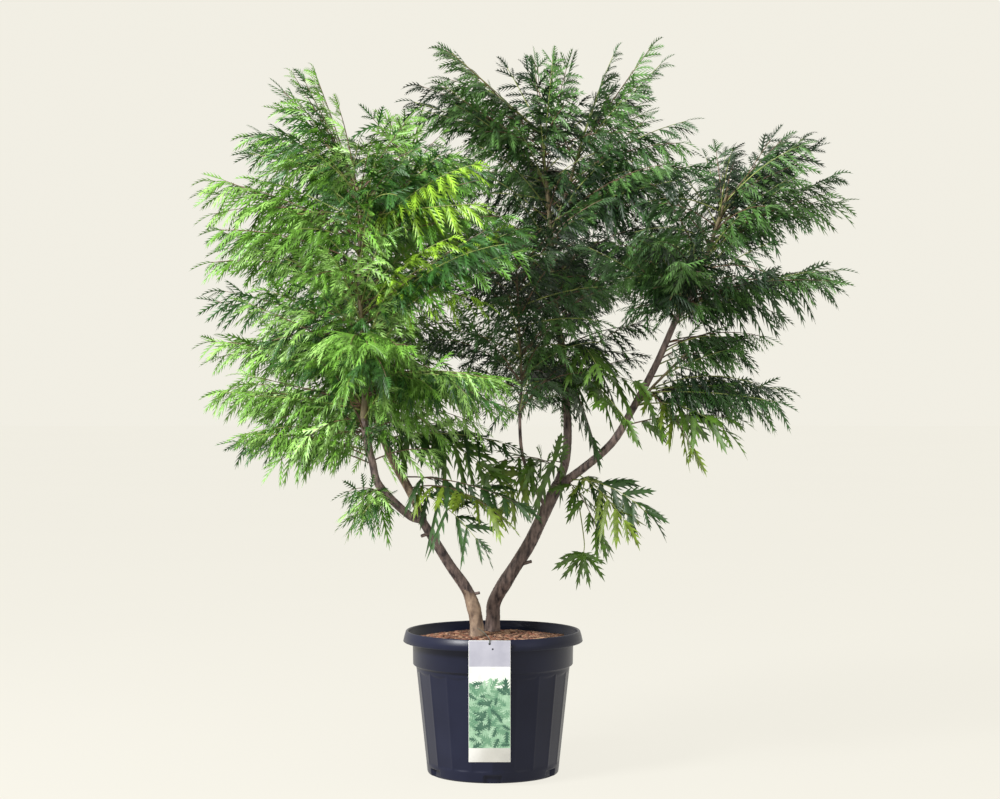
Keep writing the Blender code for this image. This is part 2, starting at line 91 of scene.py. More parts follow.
# Its flutes, which fade out in scallops below the step, and its foot notches
FLUTES = 20
FLUTE_DEPTH = 0.0024
FLUTE_FULLNESS = 0.6
FLUTE_TOP = 0.247
SCALLOP_DEPTH = 0.007
SCALLOP_FADE = 0.003
FLUTE_FOOT_GAP = 0.018
FLUTE_FOOT_FADE = 0.004
FLUTE_LIMIT_GAP = 0.003
OUTER_MARGIN = 0.004
NOTCHES = 6
NOTCH_WIDTH = 0.040
NOTCH_DEPTH = 0.007
NOTCH_TOP = 0.017

# The bark mulch: its bed, its chips and a straw
SOIL_TOP = 0.318
SOIL_EDGE = 0.3085
SOIL_FLAT_RADIUS = 0.125
SOIL_RADIUS = 0.1965
SOIL_FALL_POWER = 0.55
BED_RINGS = 60
BED_SINK = 0.002
BED_MIDDLE_RADIUS = 0.0005
BED_UNEVENNESS = 0.0012
CHIPS = 1500
CHIP_REACH = 0.188
# Least and most of a chip's half length, half breadth and half thickness
CHIP_SIZES = ((0.004, 0.012), (0.002, 0.005), (0.0007, 0.0018))
CHIP_RAGGEDNESS = 0.4
CHIP_TILT = 0.3
CHIP_SINK = 0.0006
# The first tint number and the one after the last
CHIP_TINTS = (1, 4)
STRAW_TINT = 4
STRAW_ROUTE = ((0.085, -0.12, 0.321), (0.105, -0.115, 0.326), (0.13, -0.112, 0.322))
STRAW_RADIUS = 0.0008
STRAW_RINGS = 12

# The tag: the card, and the areas printed on it
TAG_WIDTH = 0.094
TAG_HEIGHT = 0.273
TAG_MIDDLE = -0.007
TAG_LEFT = TAG_MIDDLE - TAG_WIDTH / 2
TAG_RIGHT = TAG_MIDDLE + TAG_WIDTH / 2
TAG_TOP = 0.333
TAG_FRONT = -0.2111
TAG_THICKNESS = 0.0008
PRINT_INSET = 0.0006
PRINT_LIFT = 0.00015
HEADER_FOOT = 0.274
WHITE_LINE = 0.0015
PANEL_TOP = HEADER_FOOT - WHITE_LINE
PANEL_FOOT = 0.0915
GROUND_TOP = 0.226
# Across and up, of the plain leaf sprigs on the panel: the first one's place, their pitch and their scatter
SPRIG_COLUMNS = 7
SPRIG_ROWS = 11
SPRIG_START = (0.010, 0.008)
SPRIG_PITCH = (0.0125, 0.0135)
SPRIG_SCATTER = (0.002, 0.003)
SPRIG_LENGTHS = (0.020, 0.034)
SPRIG_BREADTH = 1.6
SPRIG_LEVELS = 5
SPRIG_LEVEL_LIFT = 0.4
# The first tint number and the one after the last
SPRIG_TINTS = (3, 6)
HOLE_TINT = 6
HOLE_SIDES = 20
# Place right of the middle, depth below the top, and radius
TAG_HOLES = ((0, 0.0075, 0.0026), (0.007, 0.0195, 0.0022))
WIRE_RADIUS = 0.0009
WIRE_RINGS = 90

# Tubes and their bark: waves that wind along the limb, and a fine grain, as shares of the relief
ROUTE_STEPS = 12
MOSTLY = 0.8
BARK_WAVES = 7
MOST_WAVE_TURNS = 6
WAVE_PITCH = 0.16
MOST_WAVE_PHASE = 6.3
WAVE_SHARE = 0.3
GRAIN_SHARE = 0.5
BULGE_SPREAD = 0.07
FLARE_REACH = 0.018
RING_SPACING = 0.0025
LIMB_SIDES = 28
LIMB_RELIEF = 0.055
SHOOT_SIDES = 12
SHOOT_RELIEF = 0.10
SHOOT_RINGS = 70
STUB_RINGS = 9
STUB_TAPER = 0.8

# The left stem turns from tan to dark here, along a wavy border
DARK_FROM = 0.425
BORDER_WAVE = 0.004
BORDER_TURNS_ACROSS = 170
BORDER_TURNS_UP = 60

# Stems and boughs, which keep the CAD model's routes
LIMBS = {
    "left_stem": Limb(
        ((-0.0363, 0, 0.3183), (-0.0386, -0.001, 0.352), (-0.0456, -0.005, 0.387), (-0.0623, -0.012, 0.430),
         (-0.1013, -0.024, 0.487), (-0.144, -0.038, 0.558), (-0.176, -0.050, 0.611)),
        0.0152, 0.0095, (0.22, 0.18), 0.22),
    "right_stem": Limb(
        ((-0.0024, 0.100, 0.3183), (0, 0.098, 0.352), (0.0035, 0.093, 0.390), (0.034, 0.082, 0.445),
         (0.083, 0.070, 0.524), (0.120, 0.060, 0.600), (0.154, 0.050, 0.672)),
        0.0163, 0.0146, (0.32, 0.12), 0.22),
    "low_left_bough": Limb(
        ((-0.160, -0.053, 0.593), (-0.196, -0.070, 0.6075), (-0.259, -0.105, 0.674),
         (-0.2755, -0.115, 0.730), (-0.290, -0.125, 0.790), (-0.2945, -0.130, 0.831)),
        0.0098, 0.0082, None, 0),
    "high_left_bough": Limb(
        ((-0.162, -0.050, 0.600), (-0.195, -0.030, 0.6625), (-0.231, -0.005, 0.7245),
         (-0.258, 0.015, 0.784), (-0.268, 0.025, 0.8145)),
        0.0106, 0.0094, None, 0),
    "upright_bough": Limb(
        ((0.149, 0.052, 0.662), (0.172, 0.070, 0.7257), (0.1774, 0.090, 0.811), (0.171, 0.110, 0.906),
         (0.1656, 0.130, 1.002)),
        0.0108, 0.0085, None, 0),
    "side_bough": Limb(
        ((0.149, 0.050, 0.664), (0.210, 0.035, 0.708), (0.279, 0.015, 0.770), (0.3225, -0.005, 0.843),
         (0.380, -0.020, 0.953), (0.4276, -0.035, 1.062), (0.4617, -0.045, 1.120)),
        0.0106, 0.0064, None, 0),
    "slender_stem": Limb(
        ((0.1255, 0.058, 0.615), (0.099, 0.030, 0.664), (0.070, 0, 0.738), (0.0625, -0.015, 0.8245),
         (0.0675, -0.020, 0.910)),
        0.0050, 0.0030, None, 0),
}
# Limbs with tan bark
LIGHT_LIMBS = ("left_stem", "high_left_bough")

# Stubs of old side shoots
STUBS = (
    Stub((-0.050, -0.010, 0.417), (-0.031, -0.014, 0.421), 0.0042),
    Stub((-0.148, -0.044, 0.562), (-0.166, -0.053, 0.556), 0.0045),
    Stub((0.070, 0.070, 0.482), (0.091, 0.063, 0.488), 0.0048),
)

# Leading shoots, which carry the leaves on from the limbs
LEADERS = {
    "left_front": Shoot(
        ((-0.2945, -0.130, 0.825), (-0.290, -0.135, 0.93), (-0.303, -0.140, 1.13), (-0.303, -0.145, 1.32),
         (-0.330, -0.140, 1.40), (-0.385, -0.138, 1.46)), 0.0082, 0.0030),
    "left_rear": Shoot(
        ((-0.268, 0.025, 0.808), (-0.262, 0.035, 0.90), (-0.235, 0.080, 1.15), (-0.205, 0.120, 1.46)),
        0.0094, 0.0030),
    "upright": Shoot(
        ((0.1656, 0.130, 0.995), (0.149, 0.150, 1.10), (0.137, 0.160, 1.30), (0.115, 0.180, 1.52)),
        0.0085, 0.0035),
    "upright_fork": Shoot(((0.140, 0.158, 1.27), (0.180, 0.165, 1.38), (0.215, 0.160, 1.50)), 0.0050, 0.0028),
    "side": Shoot(((0.4617, -0.045, 1.112), (0.500, -0.052, 1.22), (0.545, -0.060, 1.36)), 0.0064, 0.0028),
    "side_low": Shoot(((0.3225, -0.005, 0.840), (0.370, -0.025, 0.900), (0.455, -0.040, 0.985)),
                      0.0040, 0.0024),
    "middle": Shoot(((0.0675, -0.020, 0.905), (0.060, -0.060, 1.05), (0.050, -0.140, 1.24)), 0.0032, 0.0022),
}
# Limbs that carry leaves themselves
LEAFY_LIMBS = ("low_left_bough", "high_left_bough", "upright_bough", "side_bough", "slender_stem")
# Points along each shoot and leafy limb from which leaves may start
LEADER_POINTS = 60
LEAFY_LIMB_POINTS = 40

# Inner masses, filled by leaves in a spiral round a leading shoot. The left-side masses take brighter greens,
# partly painted light, and the right-side "dark" masses take darker greens, partly painted shade.
HEARTS = {
    "left_heart_low": Mass((-0.290, -0.125, 0.775), (-0.300, -0.140, 1.050), 0.19, 0.17, "bright_painted_light"),
    "left_heart_high": Mass((-0.300, -0.140, 1.020), (-0.315, -0.150, 1.430), 0.22, 0.19, "bright_painted_light"),
    "left_rear_heart": Mass((-0.262, 0.020, 0.780), (-0.205, 0.120, 1.440), 0.23, 0.20, "bright_painted_light"),
    "upright_heart_low": Mass((0.175, 0.125, 0.940), (0.160, 0.160, 1.220), 0.29, 0.20, "dark"),
    "upright_heart_high": Mass((0.140, 0.160, 1.190), (0.105, 0.180, 1.540), 0.32, 0.22, "dark"),
    "side_heart": Mass((0.440, -0.040, 1.065), (0.545, -0.060, 1.350), 0.25, 0.20, "dark"),
    "middle_heart": Mass((0.064, -0.020, 0.872), (0.050, -0.140, 1.235), 0.28, 0.20, "dark"),
}

# Outer masses, each a principal leaf with others fanned round it. As with the inner masses, the left side's
# brighter greens are partly painted light and the right side's "dark" greens are partly painted shade.
SPRAYS = {
    "pale_shoot": Mass((-0.355, -0.140, 1.370), (-0.462, -0.130, 1.635), 0.11, 0.10, "bright_painted_light"),
    "left_top_spray": Mass((-0.320, -0.140, 1.360), (-0.585, -0.060, 1.500), 0.16, 0.13, "bright_painted_light"),
    "left_high_spray": Mass((-0.320, -0.140, 1.240), (-0.672, -0.100, 1.395), 0.17, 0.15, "bright_painted_light"),
    "left_middle_spray": Mass((-0.320, -0.140, 1.120), (-0.640, -0.120, 1.275), 0.18, 0.17, "bright_painted_light"),
    "left_lower_spray": Mass((-0.310, -0.130, 0.990), (-0.640, -0.160, 1.140), 0.16, 0.13, "bright_painted_light"),
    "left_flat_spray": Mass((-0.300, -0.130, 0.930), (-0.675, -0.080, 1.025), 0.18, 0.13, "bright_painted_light"),
    "left_low_spray": Mass((-0.290, -0.130, 0.850), (-0.655, -0.130, 0.910), 0.16, 0.12, "bright_painted_light"),
    "left_lowest_spray": Mass((-0.280, -0.120, 0.785), (-0.590, -0.180, 0.815), 0.19, 0.14, "bright_painted_light"),
    "left_hanging_spray": Mass((-0.232, -0.090, 0.665), (-0.333, -0.180, 0.620), 0.12, 0.10, "bright_painted_light"),
    "low_front_leaf": Mass((-0.195, -0.030, 0.665), (0.045, -0.220, 0.600), 0.15, 0.12, "olive"),
    "left_inner_leaf": Mass((-0.245, 0.0, 0.785), (0.057, -0.140, 0.770), 0.15, 0.13, "olive"),
    "left_front_low_spray": Mass((-0.235, -0.075, 0.900), (0.010, -0.290, 0.940), 0.25, 0.27, "bright_painted_light"),
    "left_front_spray": Mass((-0.290, -0.160, 0.990), (-0.260, -0.530, 1.010), 0.24, 0.20, "bright_painted_light"),
    "reaching_front_spray": Mass((-0.210, -0.160, 1.080), (0.078, -0.400, 1.265), 0.18, 0.18, "yellow"),
    "front_dome": Mass((-0.290, -0.140, 1.265), (-0.010, -0.330, 1.435), 0.29, 0.27, "yellow"),
    "left_crest": Mass((-0.215, 0.100, 1.390), (-0.250, 0.080, 1.560), 0.20, 0.13, "bright_painted_light"),
    "left_rear_high_spray": Mass((-0.230, 0.130, 1.310), (-0.320, 0.470, 1.410), 0.24, 0.19, "bright_painted_light"),
    "left_rear_spray": Mass((-0.250, 0.090, 1.110), (-0.340, 0.500, 1.170), 0.26, 0.20, "bright_painted_light"),
    "left_rear_low_spray": Mass((-0.260, 0.040, 0.880), (-0.360, 0.430, 0.920), 0.24, 0.18, "bright_painted_light"),
    "crest_left": Mass((0.110, 0.190, 1.510), (-0.142, 0.150, 1.730), 0.14, 0.13, "dark"),
    "crest_far_left": Mass((0.080, 0.130, 1.455), (-0.195, 0.0, 1.628), 0.13, 0.12, "dark"),
    "crest_middle": Mass((0.130, 0.170, 1.470), (0.150, 0.150, 1.705), 0.15, 0.14, "dark"),
    "crest_right": Mass((0.205, 0.160, 1.470), (0.393, 0.100, 1.735), 0.13, 0.13, "dark"),
    "high_right_spray": Mass((0.200, 0.130, 1.390), (0.480, 0.050, 1.550), 0.14, 0.13, "dark"),
    "inner_right_spray": Mass((0.200, 0.100, 1.290), (0.480, -0.100, 1.430), 0.16, 0.16, "dark"),
    "right_crest": Mass((0.530, -0.020, 1.290), (0.555, 0.100, 1.478), 0.14, 0.12, "dark"),
    "right_high_spray": Mass((0.530, -0.050, 1.300), (0.745, 0.0, 1.503), 0.13, 0.10, "dark"),
    "right_long_spray": Mass((0.520, -0.050, 1.225), (0.812, -0.060, 1.412), 0.14, 0.12, "dark"),
    "right_reaching_spray": Mass((0.450, -0.040, 1.080), (0.828, -0.050, 1.192), 0.14, 0.12, "dark"),
    "right_short_spray": Mass((0.400, -0.025, 0.985), (0.652, -0.060, 1.038), 0.14, 0.10, "dark"),
    "right_level_spray": Mass((0.365, -0.015, 0.900), (0.695, -0.050, 0.897), 0.14, 0.11, "dark"),
    "right_low_leaf": Mass((0.335, -0.010, 0.860), (0.565, -0.080, 0.790), 0.14, 0.11, "olive"),
    "low_right_leaf": Mass((0.180, 0.040, 0.715), (0.322, -0.100, 0.575), 0.16, 0.12, "olive"),
    "low_middle_leaf": Mass((0.142, 0.030, 0.722), (-0.020, -0.100, 0.740), 0.15, 0.14, "olive"),
    "olive_leaves": Mass((0.195, 0.075, 0.955), (0.315, -0.190, 0.810), 0.24, 0.22, "olive"),
    "right_front_spray": Mass((0.430, -0.060, 1.110), (0.310, -0.390, 1.240), 0.26, 0.24, "dark"),
    "rear_high_spray": Mass((0.150, 0.200, 1.370), (0.120, 0.550, 1.460), 0.26, 0.20, "dark"),
    "rear_spray": Mass((0.160, 0.180, 1.140), (0.190, 0.580, 1.240), 0.30, 0.22, "dark"),
    "rear_low_spray": Mass((0.170, 0.120, 0.940), (0.100, 0.450, 0.940), 0.24, 0.18, "dark"),
    "right_rear_spray": Mass((0.400, 0.020, 1.150), (0.430, 0.400, 1.320), 0.26, 0.24, "dark"),
}
# The leaf that hangs alone: its stalk from the top down, its leaflets and their turns from +X (degrees)
LEAF_STALK = ((0.186, 0.020, 0.666), (0.1995, 0.010, 0.634), (0.2128, -0.010, 0.544),
              (0.2115, -0.020, 0.513))
HANGING_RINGS = 24
HANGING_SIDES = 6
HANGING_RADII = (0.0018, 0.0012)
HANGING_TURNS = (172, 196, 222, 252, 284, 312, 340)
HANGING_LENGTHS = (0.062, 0.082, 0.080, 0.062, 0.064, 0.076, 0.058)
HANGING_LEAN = -0.25
HANGING_FACE = (0, -1.0, 0.2)

# Base colours of each kind of leaf, dealt out spray by spray (linear). The left-side kind's greens are partly
# the leaves' own colour and partly painted light from the left; the right-side "dark" kind's greens are
# partly their own and partly painted shade.
LEAF_TINTS = {
    # Painted light: these left-side greens are lighter than the leaves' own colour, as if lit from the left
    "bright_painted_light": ((0.100, 0.235, 0.024), (0.210, 0.385, 0.085), (0.024, 0.088, 0.012)),
    "yellow": ((0.200, 0.370, 0.020), (0.070, 0.190, 0.016), (0.020, 0.080, 0.010)),
    # Painted shade: these right-side greens, down to near black, are darker than the leaves' own colour, as
    # if in shade
    "dark": ((0.020, 0.064, 0.012), (0.055, 0.135, 0.026), (0.006, 0.022, 0.006)),
    "olive": ((0.055, 0.120, 0.010), (0.130, 0.200, 0.016), (0.018, 0.055, 0.008)),
}

# The compound leaf: its stalk
STALK_RINGS = 9
STALK_SIDES = 4
STALK_RADII = (0.0018, 0.0006)
BARE_STALK = 0.15
LONGEST_LEAF = 0.43

# Its leaflets: the pairs along the stalk, and how they open, roll, hang and scatter.
# The opening and its loss are in degrees, the other angles in radians.
LEAF_PAIR_SPACING = 0.0205
LEAST_PAIRS = 5
FIRST_PAIR_SHIFT = (-0.03, 0.05)
LAST_PAIR = 0.965
LEAFLET_LENGTH = 0.078
LEAFLET_SCATTER = (0.6, 1.15)
MOST_ROLL = 1.1
OPENING_AT_FOOT = 74
OPENING_LOSS = 40
OPENING_SCATTER = 0.3
HANG_SCATTER = 0.36
HANG_LIMITS = (-0.2, 1.5)
HANG_LOSS_WHEN_STEEP = 0.8
PAIR_SCATTER = 0.003
END_LEAFLET_PLACE = 0.985
END_LEAFLET_LENGTH = 0.72
MOST_TWIST = 0.8
SAGS = (0.05, 0.5)
FOLD = 0.5

# How much longer the leaflets in the middle of a leaf are: their length is least + swell x half a wave
PAIR_LEAST = 0.45
PAIR_SWELL = 0.62
PAIR_WAVE_START = 0.2
PAIR_WAVE_LENGTH = 0.68

# The outline of a leaflet one unit long: a middle strip with pointed lobes
STRIP_WAVE_START = 0.18
STRIP_WAVE_LENGTH = 0.82
STRIP_FULLNESS = 0.6
LOBE_LEAST = 0.35
LOBE_SWELL = 0.65
LOBE_WAVE_START = 0.12
LOBE_BACK = 0.62
LOBE_ROOT = 0.7
BELLY_FORWARDS = 0.62
BELLY_OUTWARDS = 0.42

# A spray: how many leaves it has, and how they are fanned round its axis
LEAVES_PER_SPRAY = 6
LEAVES_BY_SECTION = 145
SPRAY_TINT_SHARES = (0.45, 0.33, 0.22)
START_SCATTER = 0.03
TIP_GAP = 0.028
CREST_GAP = 0.02
FAN_ALONG = (0.45, 0.97)
FAN_BREADTH = 0.46
FAN_DEPTH = 0.62
SPRAY_ARCHES = (0.03, 0.26)
ARCH_LOSS_WHEN_RISING = 0.7
LEAST_DROOP = 0.3
MOST_DROOP = 0.95
BROAD_LEAVES = 3
BROAD_SHARE = 0.27
BROAD_SECTION_START = 0.022
BROAD_MOST_DROOP = 0.5
BROAD_SIZE = 1.22
BROAD_SPACING = 1.45

# A heart: leaves in a spiral, each to a place beside the shoot
GOLDEN_ANGLE = math.radians(137.5)
HEART_SPACING = 0.0075
HEART_LEAF_SIZE = 0.9
HEART_TINT_SHARES = (0.4, 0.3, 0.3)
HEART_START_DROP = 0.04
HEART_START_SCATTER = 0.01
HEART_REACH = 0.72
HEART_EXTRA_DEPTH = 0.02
HEART_REACHES = (0.75, 1.1)
HEART_RISES = (-0.04, 0.13)
HEART_ARCHES = (0.1, 0.24)
HEART_DROOPS = (0.4, 1.0)

# A box by its eight corners
BOX_TRIANGLES = np.array([(0, 1, 3), (0, 3, 2), (4, 6, 7), (4, 7, 5), (0, 4, 5), (0, 5, 1),
                          (2, 3, 7), (2, 7, 6), (0, 2, 6), (0, 6, 4), (1, 5, 7), (1, 7, 3)])


def unit(vectors):
    """Vectors made one long."""
    return vectors / np.maximum(np.linalg.norm(vectors, axis=-1, keepdims=True), 1e-9)


def turned(first, second, angle):
    """Two directions at right angles, turned together by this angle in their plane."""
    return (first * np.cos(angle) + second * np.sin(angle),
            second * np.cos(angle) - first * np.sin(angle))


def box_corners(across, deep, up):
    """A box's corners from its two bounds along each axis, in the order of BOX_TRIANGLES."""
    return np.array([(x, y, z) for x in across for y in deep for z in up], float)


CUBE = box_corners((-1, 1), (-1, 1), (-1, 1))


class Heap:
    """Points and triangles of one kind of thing, with a tint number for each triangle."""

    def __init__(self):
        self.points = []
        self.faces = []
        self.tints = []
        self.count = 0
        self.triangles = 0

    def add(self, points, faces, tint=0):
        """Puts in one more thing, whose triangles number its own points from 0."""
        self.points.append(points.reshape(-1, 3))
        self.faces.append(faces.reshape(-1, 3) + self.count)
        self.tints.append(np.full(len(self.faces[-1]), tint))
        self.count += len(self.points[-1])
        self.triangles += len(self.faces[-1])


def make_piece(name, heap, materials, nodes=(), smooth=False):
    """One mesh object from a heap, riding on the plant's body and standing for the CAD nodes."""
    points = np.concatenate(heap.points).astype(np.float32)
    faces = np.concatenate(heap.faces).astype(np.int32)
    tints = np.concatenate(heap.tints).astype(np.int32)
    mesh = bpy.data.meshes.new(name)
    mesh.vertices.add(len(points))
    mesh.vertices.foreach_set("co", points.ravel())
    mesh.loops.add(faces.size)
    mesh.loops.foreach_set("vertex_index", faces.ravel())
    mesh.polygons.add(len(faces))
    mesh.polygons.foreach_set("loop_start", np.arange(0, faces.size, 3, dtype=np.int32))
    for material in materials:
        mesh.materials.append(material)
    mesh.polygons.foreach_set("material_index", tints)
    mesh.update(calc_edges=True)
    mesh.validate()
    if smooth:
        mesh.shade_smooth()
    piece = bpy.data.objects.new(name, mesh)
    bpy.context.scene.collection.objects.link(piece)
    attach(piece, "root")
    if nodes:
        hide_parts(*nodes)
    return piece


# Materials

def mottled(name, dark, light, roughness, scale, stretch=(1, 1, 1), bump=0.0, bump_scale=None, coat=0.0):
    """A Principled material whose colour runs between two tones with noise, with a fine bump."""
    material = bpy.data.materials.new(name)
    material.use_nodes = True
    nodes = material.node_tree.nodes
    links = material.node_tree.links
    shader = nodes["Principled BSDF"]
    shader.inputs["Roughness"].default_value = roughness
    shader.inputs["Coat Weight"].default_value = coat
    place = nodes.new("ShaderNodeTexCoord")
    mapping = nodes.new("ShaderNodeMapping")
    mapping.inputs["Scale"].default_value = stretch
    links.new(place.outputs["Object"], mapping.inputs["Vector"])
    noise = nodes.new("ShaderNodeTexNoise")
    noise.inputs["Scale"].default_value = scale
    noise.inputs["Detail"].default_value = MOTTLE_DETAIL
    links.new(mapping.outputs["Vector"], noise.inputs["Vector"])
    ramp = nodes.new("ShaderNodeValToRGB")
    for stop, place_on_ramp, tone in zip(ramp.color_ramp.elements, (RAMP_DARK, RAMP_LIGHT), (dark, light)):
        stop.position = place_on_ramp
        stop.color = (*tone, 1)
    links.new(noise.outputs["Fac"], ramp.inputs["Fac"])
    links.new(ramp.outputs["Color"], shader.inputs["Base Color"])
    if bump:
        grain = nodes.new("ShaderNodeTexNoise")
        grain.inputs["Scale"].default_value = bump_scale or scale * GRAIN_FINENESS
        links.new(mapping.outputs["Vector"], grain.inputs["Vector"])
        relief = nodes.new("ShaderNodeBump")
        relief.inputs["Strength"].default_value = bump
        relief.inputs["Distance"].default_value = BUMP_DISTANCE
        links.new(grain.outputs["Fac"], relief.inputs["Height"])
        links.new(relief.outputs["Normal"], shader.inputs["Normal"])
    return material


def leaf_materials(kind):
    """One mottled green for each tint of this kind."""
    made = []
    for number, tint in enumerate(LEAF_TINTS[kind]):
        dark = tuple(LEAF_SHADE * value for value in tint)
        light = tuple(LEAF_HIGHLIGHT * value for value in tint)
        made.append(mottled(f"leaf_{kind}_{number}", dark, light, LEAF_ROUGHNESS, LEAF_MOTTLE, bump=0.25))
    return made


# Tubes

def distances(line):
    """How far along a line each of its points is."""
    return np.concatenate(((0,), np.cumsum(np.linalg.norm(np.diff(line, axis=0), axis=1))))


def smooth_route(points, samples):
    """A smooth curve through the points, as this many evenly spaced samples."""
    points = np.array(points, float)
    ends = np.vstack((2 * points[0] - points[1], points, 2 * points[-1] - points[-2]))
    fine = []
    for index in range(len(points) - 1):
        before, start, end, after = ends[index:index + 4]
        for s in np.linspace(0, 1, ROUTE_STEPS, endpoint=False):
            fine.append(0.5 * (2 * start + (end - before) * s
                               + (2 * before - 5 * start + 4 * end - after) * s ** 2
                               + (3 * start - before - 3 * end + after) * s ** 3))
    fine.append(points[-1])
    fine = np.array(fine)
    travelled = distances(fine)
    wanted = np.linspace(0, travelled[-1], samples)
    return np.stack([np.interp(wanted, travelled, fine[:, axis]) for axis in range(3)], axis=1)


def wall(rings, around):
    """Triangles of the wall through this many rings, each of this many points."""
    step = np.arange(around)
    rows = np.arange(rings - 1)[:, None] * around
    here = rows + step
    beside = rows + (step + 1) % around
    return np.concatenate((np.stack((here, beside, beside + around), -1).reshape(-1, 3),
                           np.stack((here, beside + around, here + around), -1).reshape(-1, 3)))


def add_bark(radii, angles, relief, rng):
    """Presses waves and a fine grain into the radii round each ring of a tube."""
    steps = np.arange(len(radii))[:, None]
    for _ in range(BARK_WAVES):
        turns = rng.integers(1, MOST_WAVE_TURNS + 1)
        pitch = rng.uniform(-WAVE_PITCH, WAVE_PITCH)
        phase = rng.uniform(0, MOST_WAVE_PHASE)
        radii *= 1 + relief * WAVE_SHARE * np.sin(turns * angles + pitch * steps + phase)
    radii *= 1 + relief * rng.uniform(-GRAIN_SHARE, GRAIN_SHARE, radii.shape)


def tube(line, radii, sides, relief=0.0, rng=None):
    """Points and triangles of a closed tube along a line, with bark relief as a share of its radius."""
    tangents = unit(np.gradient(line, axis=0))
    # +Y where the line runs mostly along X, and +X elsewhere, so that it is never along the line
    aside = np.where(np.abs(tangents[:, :1]) > MOSTLY, (0, 1.0, 0), (1.0, 0, 0))
    across = unit(np.cross(tangents, aside))
    other = np.cross(tangents, across)
    angles = np.linspace(0, 2 * math.pi, sides, endpoint=False)
    radii = np.repeat(np.asarray(radii, float)[:, None], sides, axis=1)
    if relief:
        add_bark(radii, angles, relief, rng)
    points = (line[:, None] + radii[..., None] * (np.cos(angles)[None, :, None] * across[:, None]
                                                  + np.sin(angles)[None, :, None] * other[:, None]))
    points = np.vstack((points.reshape(-1, 3), line[:1], line[-1:]))
    ring = np.arange(sides)
    beside = (ring + 1) % sides
    foot = len(line) * sides
    last = foot - sides
    foot_cap = np.stack((ring, np.full(sides, foot), beside), -1)
    tip_cap = np.stack((last + ring, last + beside, np.full(sides, foot + 1)), -1)
    return points, np.concatenate((wall(len(line), sides), foot_cap, tip_cap))


def limb_radii(line, limb):
    """Radii along a limb: an even taper, swollen where it bulges and at a stem's foot."""
    travelled = distances(line)
    share = travelled / travelled[-1]
    radii = limb.foot_radius + (limb.tip_radius - limb.foot_radius) * share
    if limb.bulge:
        place, swelling = limb.bulge
        radii = radii * (1 + swelling * np.exp(-((share - place) / BULGE_SPREAD) ** 2))
    return radii * (1 + limb.flare * np.exp(-travelled / FLARE_REACH))


# Leaflets and leaves

def leaflet_shape(pairs, half_rib, lobe, lean):
    """Points (along, across) and triangles of a leaflet one unit long, with lobes that lean forwards."""
    stations = np.linspace(0, 1, pairs + 2)
    wave = np.clip(STRIP_WAVE_START + STRIP_WAVE_LENGTH * stations, 0, 1)
    halves = half_rib * np.sin(np.pi * wave) ** STRIP_FULLNESS
    points = []
    faces = []
    for station, half in zip(stations[:-1], halves[:-1]):
        points += [(station, half), (station, -half)]
    points.append((1.0, 0.0))
    for near in range(0, 2 * pairs, 2):
        faces += [(near, near + 1, near + 3), (near, near + 3, near + 2)]
    faces.append((2 * pairs, 2 * pairs + 1, 2 * pairs + 2))
    for station in range(1, pairs + 1):
        share = stations[station]
        half = halves[station]
        reach = lobe * (LOBE_LEAST + LOBE_SWELL * math.sin(math.pi * min(1, LOBE_WAVE_START + share)))
        back = share - LOBE_BACK / (pairs + 1)
        for side, root in ((1, 2 * station), (-1, 2 * station + 1)):
            start = len(points)
            belly = (back + BELLY_FORWARDS * reach * math.cos(lean),
                     side * (half + BELLY_OUTWARDS * reach * math.sin(lean)))
            tip = (share + reach * math.cos(lean), side * (half + reach * math.sin(lean)))
            points += [(back, side * half * LOBE_ROOT), belly, tip]
            lobe_faces = [(start, root, start + 1), (start + 1, root, start + 2)]
            if side == -1:
                lobe_faces = [face[::-1] for face in lobe_faces]
            faces += lobe_faces
    return np.array(points), np.array(faces)


FINE_LEAFLET = leaflet_shape(pairs=5, half_rib=0.028, lobe=0.23, lean=math.radians(36))
BROAD_LEAFLET = leaflet_shape(pairs=4, half_rib=0.072, lobe=0.20, lean=math.radians(40))
FINE_LEAF = LeafForm(FINE_LEAFLET, 1.0, LEAF_PAIR_SPACING)
HEART_LEAF = LeafForm(FINE_LEAFLET, HEART_LEAF_SIZE, LEAF_PAIR_SPACING)
BROAD_LEAF = LeafForm(BROAD_LEAFLET, BROAD_SIZE, LEAF_PAIR_SPACING * BROAD_SPACING)


def place_leaflets(heap, rng, origins, headings, lengths, acrosses, shape, tint):
    """Leaflets of one shape from these origins, each a little twisted, folded and bent down by its weight."""
    origins = origins[:, None]
    headings = headings[:, None]
    lengths = lengths[:, None, None]
    acrosses = unit(acrosses)[:, None]
    flat, triangles = shape
    u = flat[None, :, :1]
    v = flat[None, :, 1:]
    normal = np.cross(headings, acrosses)
    each = (len(origins), 1, 1)
    acrosses, normal = turned(acrosses, normal, rng.uniform(-MOST_TWIST, MOST_TWIST, each))
    sag = rng.uniform(*SAGS, each)
    points = (origins + lengths * (u * headings + v * acrosses - FOLD * np.abs(v) * normal)
              - UP * lengths * sag * u ** 2)
    faces = triangles[None] + (np.arange(len(points)) * len(flat))[:, None, None]
    heap.add(points, faces, tint)


def stalk_places(foot, bend, tip, share):
    """Points of an arching leaf stalk at these shares of its way."""
    s = share[:, None]
    return (1 - s) ** 2 * foot + 2 * s * (1 - s) * bend + s ** 2 * tip


def stalk_headings(foot, bend, tip, share):
    """Directions of an arching leaf stalk at these shares of its way."""
    s = share[:, None]
    return unit(2 * (1 - s) * (bend - foot) + 2 * s * (tip - bend))


def leading_points():
    """Points all along the leading shoots and the leafy limbs."""
    lines = [smooth_route(shoot.route, LEADER_POINTS) for shoot in LEADERS.values()]
    lines += [smooth_route(LIMBS[name].route, LEAFY_LIMB_POINTS) for name in LEAFY_LIMBS]
    return np.concatenate(lines)


